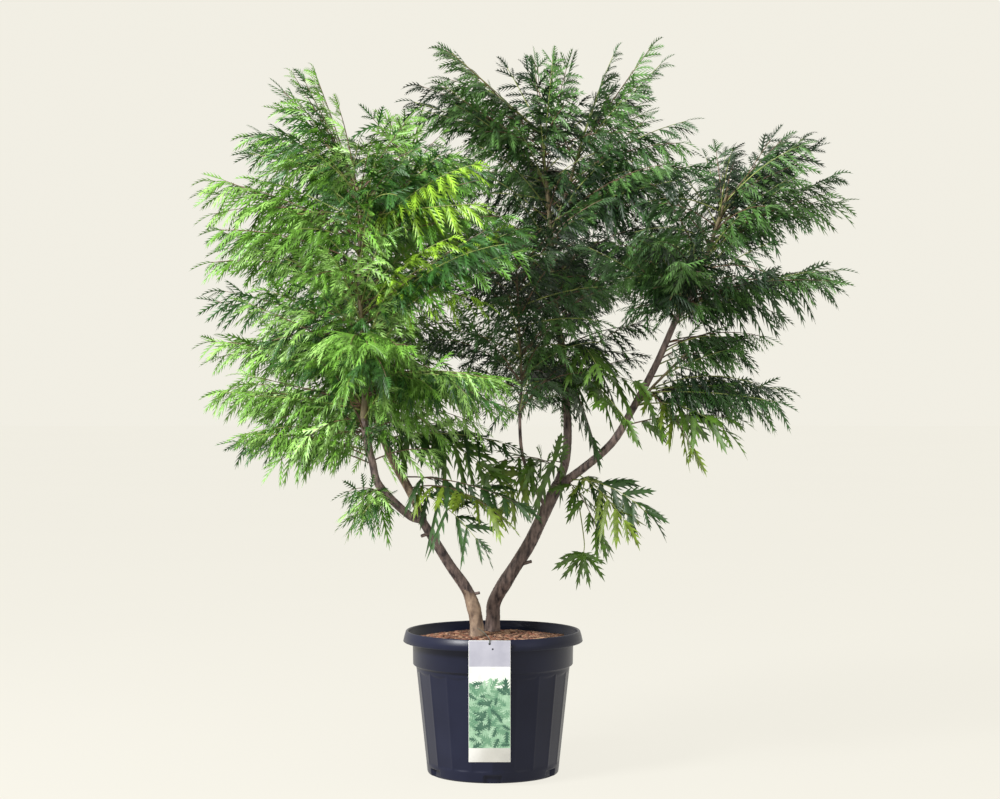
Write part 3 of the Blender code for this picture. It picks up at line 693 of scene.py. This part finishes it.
class Foliage:
    """The leaves in heaps by kind, and their stalks in one heap."""

    def __init__(self, rng):
        self.rng = rng
        self.starts = leading_points()
        self.leaves = {kind: [Heap()] for kind in LEAF_TINTS}
        self.ribs = Heap()

    def heap_for(self, kind):
        """The heap that takes the next leaf of this kind."""
        heaps = self.leaves[kind]
        if heaps[-1].triangles > MOST_TRIANGLES:
            heaps.append(Heap())
        return heaps[-1]

    def start_near(self, point, scatter):
        """The place on a shoot where a leaf starts, near this point."""
        wanted = point + self.rng.normal(0, scatter, 3)
        return self.starts[np.argmin(np.linalg.norm(self.starts - wanted, axis=1))]

    def add_leaf(self, kind, form, foot, tip, arch, droop, tint):
        """One compound leaf: an arching stalk from foot to tip with pairs of drooping leaflets."""
        rng = self.rng
        length = float(np.linalg.norm(tip - foot))
        bend = foot + 0.5 * (tip - foot) + UP * arch * length
        stalk = (foot, bend, tip)
        line = stalk_places(*stalk, np.linspace(0, 1, STALK_RINGS))
        radii = np.linspace(*STALK_RADII, STALK_RINGS)
        self.ribs.add(*tube(line, radii, STALK_SIDES), tint=rng.integers(0, 2))
        pairs = max(LEAST_PAIRS, int(round((1 - BARE_STALK) * length / form.pair_spacing)))
        share = np.linspace(BARE_STALK + rng.uniform(*FIRST_PAIR_SHIFT), LAST_PAIR, pairs)
        places = stalk_places(*stalk, share)
        forwards = stalk_headings(*stalk, share)
        # The small amount keeps an upright stalk from having no sideways
        sideways = unit(np.cross(forwards, UP) + 1e-6)
        above = np.cross(sideways, forwards)
        sideways, above = turned(sideways, above, rng.uniform(-MOST_ROLL, MOST_ROLL))
        level = (share - BARE_STALK) / (1 - BARE_STALK)
        wave = np.sin(np.pi * np.clip(PAIR_WAVE_START + PAIR_WAVE_LENGTH * level, 0, 1))
        reach = form.size * LEAFLET_LENGTH * (PAIR_LEAST + PAIR_SWELL * wave)
        parts = []
        for side in (1, -1):
            opening = (np.radians(OPENING_AT_FOOT - OPENING_LOSS * level)
                       + rng.uniform(-OPENING_SCATTER, OPENING_SCATTER, pairs))
            hang = (np.clip(droop + rng.normal(0, HANG_SCATTER, pairs), *HANG_LIMITS)
                    * (1 - HANG_LOSS_WHEN_STEEP * np.abs(forwards[:, 2])))
            out = (np.cos(opening)[:, None] * forwards
                   + np.sin(opening)[:, None] * (side * np.cos(hang)[:, None] * sideways
                                                 - np.sin(hang)[:, None] * above))
            out = unit(out)
            origins = places + forwards * rng.uniform(-PAIR_SCATTER, PAIR_SCATTER, (pairs, 1))
            lengths = reach * rng.uniform(*LEAFLET_SCATTER, pairs)
            acrosses = side * (forwards - (forwards * out).sum(1)[:, None] * out)
            parts.append((origins, out, lengths, acrosses))
        ahead = stalk_headings(*stalk, np.array((1.0,)))
        parts.append((stalk_places(*stalk, np.array((END_LEAFLET_PLACE,))), ahead,
                      np.array((form.size * LEAFLET_LENGTH * END_LEAFLET_LENGTH,)),
                      unit(np.cross(ahead, UP + 0.01))))
        joined = [np.concatenate(values) for values in zip(*parts)]
        place_leaflets(self.heap_for(kind), rng, *joined, form.leaflet, tint)

    def grow_spray(self, mass):
        """A principal leaf from the mass's foot to its tip, and others fanned round it."""
        rng = self.rng
        foot = np.array(mass.foot)
        tip = np.array(mass.tip)
        axis = tip - foot
        sideways = unit(np.cross(axis, UP))
        upwards = unit(np.cross(sideways, axis))
        rising = max(0.0, axis[2] / np.linalg.norm(axis))
        if mass.kind == "olive":
            form = BROAD_LEAF
            most_droop = BROAD_MOST_DROOP
            section = max(0.0, mass.breadth * mass.depth - BROAD_SECTION_START)
            count = BROAD_LEAVES + int(BROAD_SHARE * LEAVES_BY_SECTION * section)
        else:
            form = FINE_LEAF
            most_droop = MOST_DROOP
            count = LEAVES_PER_SPRAY + int(LEAVES_BY_SECTION * mass.breadth * mass.depth)
        for number in range(count):
            principal = number == 0
            tint = int(rng.choice(3, p=SPRAY_TINT_SHARES))
            start = self.start_near(foot, 0.0 if principal else START_SCATTER)
            if principal:
                end = tip - TIP_GAP * unit(axis)
            else:
                turn = number * GOLDEN_ANGLE
                spread = math.sqrt((number + 0.5) / count)
                end = (foot + axis * rng.uniform(*FAN_ALONG)
                       + sideways * FAN_BREADTH * mass.breadth * spread * math.cos(turn)
                       + upwards * FAN_DEPTH * mass.depth * spread * math.sin(turn))
            end[2] = min(end[2], max(foot[2], tip[2] - CREST_GAP))
            reach = end - start
            distance = np.linalg.norm(reach)
            if distance > LONGEST_LEAF:
                start = end - reach / distance * LONGEST_LEAF
            arch = rng.uniform(*SPRAY_ARCHES) * (1 - ARCH_LOSS_WHEN_RISING * rising)
            droop = rng.uniform(LEAST_DROOP, most_droop)
            self.add_leaf(mass.kind, form, start, end, arch, droop, tint)

    def grow_heart(self, mass):
        """Leaves in a spiral up the shoot, from the mass's foot to its tip."""
        rng = self.rng
        foot = np.array(mass.foot)
        tip = np.array(mass.tip)
        half_section = np.array((HEART_REACH * mass.breadth, HEART_REACH * mass.depth + HEART_EXTRA_DEPTH, 0))
        count = int(np.linalg.norm(tip - foot) / HEART_SPACING)
        for number in range(count):
            share = (number + rng.uniform(0, 1)) / count
            centre = foot + share * (tip - foot)
            turn = number * GOLDEN_ANGLE
            out = np.array((math.cos(turn), math.sin(turn), 0))
            tint = int(rng.choice(3, p=HEART_TINT_SHARES))
            start = self.start_near(centre - HEART_START_DROP * UP, HEART_START_SCATTER)
            reach = half_section * out * rng.uniform(*HEART_REACHES)
            end = centre + reach + UP * rng.uniform(*HEART_RISES)
            arch = rng.uniform(*HEART_ARCHES)
            droop = rng.uniform(*HEART_DROOPS)
            self.add_leaf(mass.kind, HEART_LEAF, start, end, arch, droop, tint)

    def hang_leaf(self):
        """The broad leaf that hangs alone below the side bough, with its stalk."""
        turns = np.radians(HANGING_TURNS)
        headings = np.stack((np.cos(turns), np.full(len(turns), HANGING_LEAN), np.sin(turns)), -1)
        origins = np.repeat(np.array(LEAF_STALK[-1:]), len(turns), 0)
        place_leaflets(self.leaves["olive"][-1], self.rng, origins, unit(headings),
                       np.array(HANGING_LENGTHS), np.cross(headings, HANGING_FACE), BROAD_LEAFLET, 0)
        line = smooth_route(LEAF_STALK, HANGING_RINGS)
        self.ribs.add(*tube(line, np.linspace(*HANGING_RADII, HANGING_RINGS), HANGING_SIDES))


def make_leaves(leaves):
    """One piece for each heap of leaves, the first of a kind standing for all masses of that kind."""
    masses = {**HEARTS, **SPRAYS}
    for kind, heaps in leaves.items():
        nodes = [name for name, mass in masses.items() if mass.kind == kind]
        if kind == "olive":
            nodes.append("hanging_leaf")
        materials = leaf_materials(kind)
        for number, heap in enumerate(heaps, 1):
            stands_for = nodes if number == 1 else ()
            make_piece(f"leaves_{kind}_{number}", heap, materials, stands_for)


def make_ribs(ribs):
    """The stalks of all leaves, some green and some brown."""
    materials = (
        mottled("leaf_rib_green", (0.16, 0.20, 0.05), (0.26, 0.30, 0.08), 0.5, 40),
        mottled("leaf_rib_brown", (0.07, 0.045, 0.03), (0.16, 0.09, 0.05), 0.5, 40),
    )
    make_piece("leaf_ribs", ribs, materials, ("leaf_stalk",), smooth=True)


def make_shoots(rng):
    """The leading shoots, which aren't in the CAD model."""
    shoots = Heap()
    for shoot in LEADERS.values():
        line = smooth_route(shoot.route, SHOOT_RINGS)
        radii = np.linspace(shoot.foot_radius, shoot.tip_radius, SHOOT_RINGS)
        shoots.add(*tube(line, radii, SHOOT_SIDES, SHOOT_RELIEF, rng))
    bark = mottled("shoot_bark", (0.065, 0.05, 0.03), (0.20, 0.16, 0.08), 0.7, 60,
                   stretch=(1, 1, 0.35), bump=0.4)
    make_piece("leading_shoots", shoots, (bark,), smooth=True)


def make_foliage(rng):
    """All leaves with their stalks, and the leading shoots that carry them."""
    foliage = Foliage(rng)
    for mass in SPRAYS.values():
        foliage.grow_spray(mass)
    for mass in HEARTS.values():
        foliage.grow_heart(mass)
    foliage.hang_leaf()
    make_leaves(foliage.leaves)
    make_ribs(foliage.ribs)
    make_shoots(rng)


# Limbs

def make_limbs(rng):
    """The stems and boughs as tubes with bark relief, and their stubs."""
    tan = mottled("bark_tan", (0.095, 0.062, 0.045), (0.36, 0.26, 0.185), 0.78, 70,
                  stretch=(1, 1, 0.5), bump=0.9, bump_scale=240)
    dark = mottled("bark_dark", (0.026, 0.017, 0.018), (0.215, 0.155, 0.138), 0.72, 120,
                   stretch=(1, 1, 0.3), bump=0.9, bump_scale=260)
    for name, limb in LIMBS.items():
        rings = int(distances(np.array(limb.route))[-1] / RING_SPACING)
        line = smooth_route(limb.route, rings)
        heap = Heap()
        heap.add(*tube(line, limb_radii(line, limb), LIMB_SIDES, LIMB_RELIEF, rng))
        first = tan if name in LIGHT_LIMBS else dark
        piece = make_piece(f"{name}_bark", heap, (first, dark), (name,), smooth=True)
        if name == "left_stem":
            darken_above(piece.data, DARK_FROM)
    stubs = Heap()
    for stub in STUBS:
        line = smooth_route((stub.foot, stub.tip), STUB_RINGS)
        radii = np.linspace(stub.radius, stub.radius * STUB_TAPER, STUB_RINGS)
        stubs.add(*tube(line, radii, SHOOT_SIDES, SHOOT_RELIEF, rng))
    make_piece("branch_stubs", stubs, (dark,), smooth=True)


def darken_above(mesh, height):
    """Deals the second material to the faces above this height, along a wavy border."""
    for face in mesh.polygons:
        wave = math.sin(BORDER_TURNS_ACROSS * face.center.x + BORDER_TURNS_UP * face.center.z)
        if face.center.z > height + BORDER_WAVE * wave:
            face.material_index = 1


# Pot, mulch, tag and wire

def lathe(profile, radius_at=None):
    """Points and triangles of a shape turned round the Z axis from (radius, height) points."""
    angles = np.linspace(0, 2 * math.pi, POT_SEGMENTS, endpoint=False)
    radii = np.array([point[0] for point in profile])[:, None] * np.ones(POT_SEGMENTS)
    heights = np.array([point[1] for point in profile])[:, None] * np.ones(POT_SEGMENTS)
    if radius_at:
        radii = radius_at(radii, heights, angles[None])
    points = np.stack((radii * np.cos(angles), radii * np.sin(angles), heights), -1)
    return points.reshape(-1, 3), wall(len(profile), POT_SEGMENTS)


def moulded(radii, heights, angles):
    """The pot's radii with its flutes and foot notches pressed in."""
    outer = radii > BASE_RADIUS - OUTER_MARGIN
    wave = np.abs(np.sin(0.5 * FLUTES * angles)) ** FLUTE_FULLNESS
    below_top = np.clip((FLUTE_TOP - SCALLOP_DEPTH * wave - heights) / SCALLOP_FADE, 0, 1)
    above_foot = np.clip((heights - BASE_EDGE - FLUTE_FOOT_GAP) / FLUTE_FOOT_FADE, 0, 1)
    fluted = outer & (heights < STEP_HEIGHT - FLUTE_LIMIT_GAP)
    radii = radii - np.where(fluted, FLUTE_DEPTH * wave * (below_top * above_foot), 0)
    sector = 2 * math.pi / NOTCHES
    away = np.abs((angles + math.pi / 2 + sector / 2) % sector - sector / 2) * BASE_RADIUS
    notched = (away < NOTCH_WIDTH / 2) & (heights < NOTCH_TOP) & outer
    return radii - np.where(notched, NOTCH_DEPTH, 0)


def make_pot():
    """The nursery pot: a fluted wall, a step, a collar and a rolled lip."""
    profile = list(POT_FOOT)
    for height in np.linspace(BASE_EDGE, STEP_HEIGHT - WALL_TOP_GAP, WALL_RINGS):
        share = (height - BASE_EDGE) / (STEP_HEIGHT - BASE_EDGE)
        profile.append((BASE_RADIUS + (BODY_TOP_RADIUS - BASE_RADIUS) * share, height))
    lip_foot = POT_HEIGHT - LIP_DEPTH
    profile += [(BODY_TOP_RADIUS + 0.001, STEP_HEIGHT - 0.002), (COLLAR_RADIUS - 0.0015, STEP_HEIGHT),
                (COLLAR_RADIUS, STEP_HEIGHT + 0.002), (COLLAR_RADIUS + 0.0008, lip_foot - 0.004),
                (COLLAR_RADIUS + 0.0025, lip_foot - 0.001), (LIP_FOOT_RADIUS - 0.002, lip_foot),
                (LIP_FOOT_RADIUS, lip_foot + 0.0015), (LIP_FOOT_RADIUS - 0.0025, lip_foot + 0.013),
                (LIP_TOP_RADIUS + 0.0006, POT_HEIGHT - 0.002), (LIP_TOP_RADIUS - 0.0008, POT_HEIGHT - 0.0004),
                (LIP_TOP_RADIUS - 0.002, POT_HEIGHT), (RIM_INNER_RADIUS + 0.001, POT_HEIGHT - 0.0008),
                (RIM_INNER_RADIUS, POT_HEIGHT - 0.003), (RIM_INNER_RADIUS - 0.0006, 0.3105),
                (COLLAR_RADIUS - 0.002, 0.309), (COLLAR_RADIUS - 0.004, 0.300)]
    plastic = mottled("pot_plastic", (0.0070, 0.0085, 0.022), (0.0100, 0.0120, 0.029), 0.34, 9,
                      bump=0.12, bump_scale=700)
    plastic.node_tree.nodes["Principled BSDF"].inputs["Specular IOR Level"].default_value = POT_SPECULAR
    heap = Heap()
    heap.add(*lathe(profile, moulded))
    make_piece("nursery_pot", heap, (plastic,), ("pot",), smooth=True)


def soil_height(radius):
    """Height of the mulch at this distance from the middle."""
    fall = np.clip((radius - SOIL_FLAT_RADIUS) / (SOIL_RADIUS - SOIL_FLAT_RADIUS), 0, 1)
    return SOIL_TOP - (SOIL_TOP - SOIL_EDGE) * fall ** SOIL_FALL_POWER


def bark_chip(rng):
    """The corners of one loose chip, ragged, turned and tilted, somewhere on the mulch."""
    radius = CHIP_REACH * math.sqrt(rng.uniform())
    around = rng.uniform(0, 2 * math.pi)
    size = np.array([rng.uniform(*sizes) for sizes in CHIP_SIZES])
    x, y, z = ((CUBE + rng.uniform(-CHIP_RAGGEDNESS, CHIP_RAGGEDNESS, CUBE.shape)) * size).T
    turn = rng.uniform(0, 2 * math.pi)
    tilt = rng.normal(0, CHIP_TILT)
    across = y * math.cos(tilt) - z * math.sin(tilt)
    lift = y * math.sin(tilt) + z * math.cos(tilt)
    return np.stack((x * math.cos(turn) - across * math.sin(turn) + radius * math.cos(around),
                     x * math.sin(turn) + across * math.cos(turn) + radius * math.sin(around),
                     lift + soil_height(radius) - CHIP_SINK), -1)


def make_mulch(rng):
    """Bark mulch: an uneven bed under many loose chips, and one straw."""
    heap = Heap()
    points, faces = lathe([(max(BED_MIDDLE_RADIUS, radius), soil_height(radius) - BED_SINK)
                           for radius in np.linspace(0, SOIL_RADIUS, BED_RINGS)])
    points[:, 2] += rng.uniform(-BED_UNEVENNESS, BED_UNEVENNESS, len(points))
    heap.add(points, faces)
    for _ in range(CHIPS):
        chip = bark_chip(rng)
        heap.add(chip, BOX_TRIANGLES, int(rng.integers(*CHIP_TINTS)))
    straw = smooth_route(STRAW_ROUTE, STRAW_RINGS)
    heap.add(*tube(straw, np.full(STRAW_RINGS, STRAW_RADIUS), 6), tint=STRAW_TINT)
    materials = (
        mottled("mulch_bed", (0.03, 0.015, 0.01), (0.10, 0.045, 0.025), 0.95, 160, bump=0.6),
        mottled("chip_red", (0.12, 0.045, 0.025), (0.26, 0.10, 0.055), 0.9, 120, bump=0.5),
        mottled("chip_brown", (0.06, 0.028, 0.018), (0.16, 0.075, 0.045), 0.9, 120, bump=0.5),
        mottled("chip_pale", (0.22, 0.12, 0.07), (0.40, 0.24, 0.15), 0.9, 120, bump=0.5),
        mottled("straw", (0.45, 0.36, 0.18), (0.60, 0.50, 0.28), 0.7, 90),
    )
    make_piece("mulch", heap, materials, ("soil",))


def add_print(heap, foot, top, level, tint):
    """A printed area across the tag, this many lifts in front of the card."""
    left = TAG_LEFT + PRINT_INSET
    right = TAG_RIGHT - PRINT_INSET
    front = TAG_FRONT - PRINT_LIFT * level
    corners = np.array(((left, front, foot), (right, front, foot), (right, front, top), (left, front, top)))
    heap.add(corners, np.array(((0, 1, 2), (0, 2, 3))), tint)


def add_sprigs(heap, rng):
    """Rows of plain leaf sprigs in three greens, a few levels deep, cut off at the panel's edges."""
    flat, triangles = BROAD_LEAFLET
    for row in range(SPRIG_ROWS):
        for column in range(SPRIG_COLUMNS):
            angle = rng.uniform(0, 2 * math.pi)
            length = rng.uniform(*SPRIG_LENGTHS)
            shift_x, shift_z = (rng.uniform(-scatter, scatter) for scatter in SPRIG_SCATTER)
            centre_x = TAG_LEFT + SPRIG_START[0] + column * SPRIG_PITCH[0] + shift_x
            centre_z = PANEL_FOOT + SPRIG_START[1] + row * SPRIG_PITCH[1] + shift_z
            along = (flat[:, 0] - 0.5) * length
            across = flat[:, 1] * length * SPRIG_BREADTH
            x = np.clip(centre_x + along * math.cos(angle) - across * math.sin(angle),
                        TAG_LEFT + PRINT_INSET, TAG_RIGHT - PRINT_INSET)
            z = np.clip(centre_z + along * math.sin(angle) + across * math.cos(angle), PANEL_FOOT, PANEL_TOP)
            level = 2 + SPRIG_LEVEL_LIFT * ((row * SPRIG_COLUMNS + column) % SPRIG_LEVELS)
            y = np.full(len(x), TAG_FRONT - PRINT_LIFT * level)
            heap.add(np.stack((x, y, z), -1), triangles, int(rng.integers(*SPRIG_TINTS)))


def add_holes(heap):
    """Dark discs in place of the card's two holes."""
    around = np.linspace(0, 2 * math.pi, HOLE_SIDES, endpoint=False)
    second = np.arange(1, HOLE_SIDES - 1)
    fan = np.stack((np.zeros(len(second), int), second, second + 1), -1)
    front = np.full(HOLE_SIDES, TAG_FRONT - 2 * PRINT_LIFT)
    for aside, down, radius in TAG_HOLES:
        rim = np.stack((TAG_MIDDLE + aside + radius * np.cos(around), front,
                        TAG_TOP - down + radius * np.sin(around)), -1)
        heap.add(rim, fan, HOLE_TINT)


def make_tag(rng):
    """The hanging tag: a white card with plain coloured areas and a plain motif of leaf sprigs."""
    heap = Heap()
    heap.add(box_corners((TAG_LEFT, TAG_RIGHT), (TAG_FRONT, TAG_FRONT + TAG_THICKNESS),
                         (TAG_TOP - TAG_HEIGHT, TAG_TOP)), BOX_TRIANGLES)
    add_print(heap, HEADER_FOOT, TAG_TOP - PRINT_INSET, 1, 1)
    add_print(heap, PANEL_FOOT, PANEL_TOP, 1, 2)
    add_print(heap, PANEL_FOOT, GROUND_TOP, 1.5, 3)
    add_sprigs(heap, rng)
    add_print(heap, PANEL_TOP, HEADER_FOOT, 4, 0)
    add_holes(heap)
    materials = (
        mottled("tag_white", (0.80, 0.80, 0.78), (0.88, 0.88, 0.86), 0.3, 30, coat=0.2),
        mottled("tag_header", (0.30, 0.30, 0.36), (0.36, 0.36, 0.42), 0.3, 30, coat=0.2),
        mottled("tag_panel", (0.55, 0.62, 0.55), (0.72, 0.76, 0.70), 0.3, 60, coat=0.2),
        mottled("tag_leaf_light", (0.20, 0.36, 0.23), (0.32, 0.48, 0.34), 0.3, 60, coat=0.2),
        mottled("tag_leaf_middle", (0.08, 0.20, 0.12), (0.14, 0.28, 0.17), 0.3, 60, coat=0.2),
        mottled("tag_leaf_deep", (0.02, 0.08, 0.05), (0.045, 0.12, 0.075), 0.3, 60, coat=0.2),
        mottled("tag_hole", (0.008, 0.009, 0.02), (0.014, 0.015, 0.03), 0.8, 60),
    )
    make_piece("plant_tag", heap, materials, ("tag",))


def make_wire():
    """The thin wire that ties the tag to the left stem."""
    card = TAG_FRONT + TAG_THICKNESS / 2
    route = ((TAG_MIDDLE, card + 0.0035, 0.3255), (TAG_MIDDLE, TAG_FRONT - 0.0012, 0.3255),
             (TAG_MIDDLE, TAG_FRONT - 0.0014, 0.3285), (TAG_MIDDLE, TAG_FRONT - 0.001, 0.334),
             (-0.008, TAG_FRONT + 0.005, 0.3375), (-0.020, -0.120, 0.340), (-0.036, -0.018, 0.339))
    heap = Heap()
    heap.add(*tube(smooth_route(route, WIRE_RINGS), np.full(WIRE_RINGS, WIRE_RADIUS), 8))
    metal = mottled("wire_green", (0.05, 0.06, 0.05), (0.09, 0.10, 0.08), 0.45, 80)
    make_piece("tag_tie", heap, (metal,), ("tag_wire",), smooth=True)


# Stage

def stand(name, data, place):
    """An object of the stage in the scene."""
    thing = bpy.data.objects.new(name, data)
    thing.location = place
    bpy.context.scene.collection.objects.link(thing)
    return thing


def make_floor():
    """A pale floor that glows like the background, so that no horizon shows."""
    half = FLOOR_HALF
    mesh = bpy.data.meshes.new("floor")
    corners = [(-half, -half, 0), (half, -half, 0), (half, half, 0), (-half, half, 0)]
    mesh.from_pydata(corners, [], [(0, 1, 2, 3)])
    floor = stand("floor", mesh, (0, 0, 0))
    pale = mottled("floor_pale", (0.048, 0.047, 0.043), (0.052, 0.051, 0.047), 1.0, 0.5)
    shader = pale.node_tree.nodes["Principled BSDF"]
    shader.inputs["Specular IOR Level"].default_value = 0
    shader.inputs["Emission Color"].default_value = BACKDROP_COLOUR
    shader.inputs["Emission Strength"].default_value = FLOOR_GLOW
    mesh.materials.append(pale)


def make_stage():
    """The floor, the background, soft lamps and the photograph's camera."""
    make_floor()
    world = bpy.data.worlds.new("studio")
    world.use_nodes = True
    world.node_tree.nodes["Background"].inputs["Color"].default_value = BACKDROP_COLOUR
    bpy.context.scene.world = world
    for lamp in LAMPS:
        data = bpy.data.lights.new(lamp.name, "AREA")
        data.size = lamp.size
        data.energy = lamp.energy
        aim = np.array(LAMPS_AIM) - np.array(lamp.place)
        light = stand(lamp.name, data, lamp.place)
        light.rotation_euler = (math.atan2(math.hypot(aim[0], aim[1]), -aim[2]), 0,
                                math.atan2(-aim[0], aim[1]))
    lens = bpy.data.cameras.new("camera")
    lens.lens = LENS
    lens.sensor_width = SENSOR_WIDTH
    lens.dof.use_dof = False
    camera = stand("camera", lens, CAMERA_PLACE)
    camera.rotation_euler = (CAMERA_PITCH, 0, 0)
    bpy.context.scene.camera = camera
    bpy.context.scene.view_settings.view_transform = "Standard"


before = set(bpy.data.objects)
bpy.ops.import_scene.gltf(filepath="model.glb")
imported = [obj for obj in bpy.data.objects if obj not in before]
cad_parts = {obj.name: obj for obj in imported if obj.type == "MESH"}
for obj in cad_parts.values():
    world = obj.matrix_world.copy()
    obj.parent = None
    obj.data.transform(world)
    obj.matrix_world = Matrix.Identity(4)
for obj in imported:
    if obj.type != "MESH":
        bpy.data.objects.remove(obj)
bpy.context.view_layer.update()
rng = np.random.default_rng(SEED)
make_stage()
make_pot()
make_mulch(rng)
make_tag(rng)
make_wire()
make_limbs(rng)
make_foliage(rng)
bpy.context.view_layer.update()
